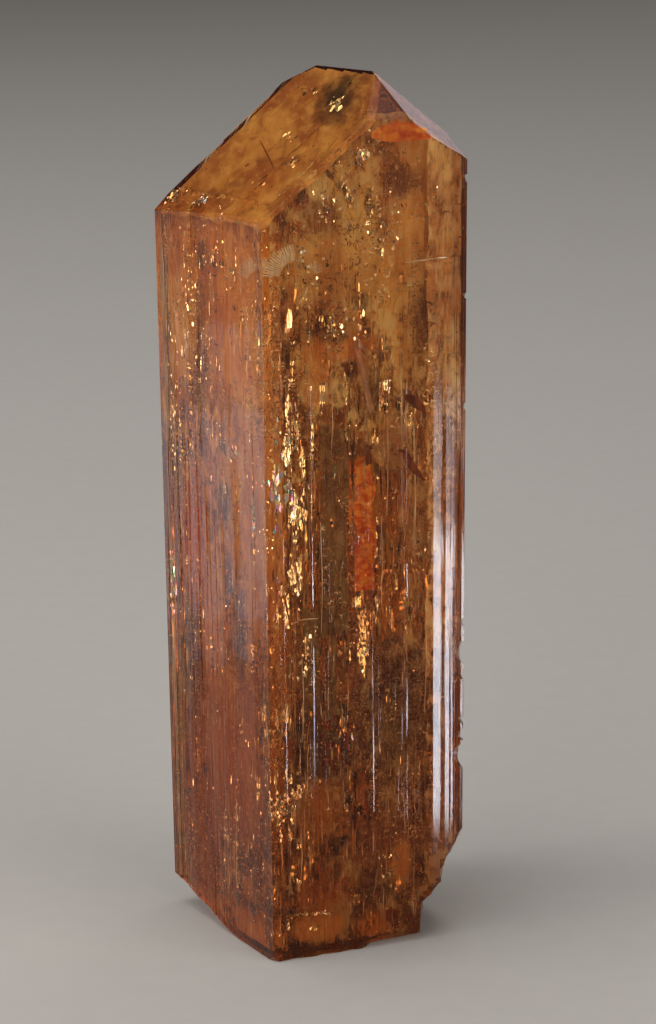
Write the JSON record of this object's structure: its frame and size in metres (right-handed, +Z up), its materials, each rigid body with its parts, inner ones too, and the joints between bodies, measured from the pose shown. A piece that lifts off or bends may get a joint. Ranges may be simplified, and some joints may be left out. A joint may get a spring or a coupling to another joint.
{
  "type": "topaz crystal",
  "caption": "Upright prismatic topaz crystal with striated sides, a slanting faceted tip and a flat broken base; stands on its base as a mineral specimen or gem prop.",
  "frame": {"origin": "centre of the bounding box, on the plane the base stands on", "axes": "+Z up along the crystal's length, -Y out of the front, +X towards the viewer's right"},
  "size_m": [0.021, 0.02, 0.0591],
  "materials": {
    "topaz": "natural growth faces, glossy; orange-brown, see-through, striated along its length; rough on the broken base"
  },
  "bodies": {
    "root": {"crystal": "topaz"}
  },
  "joints": []
}
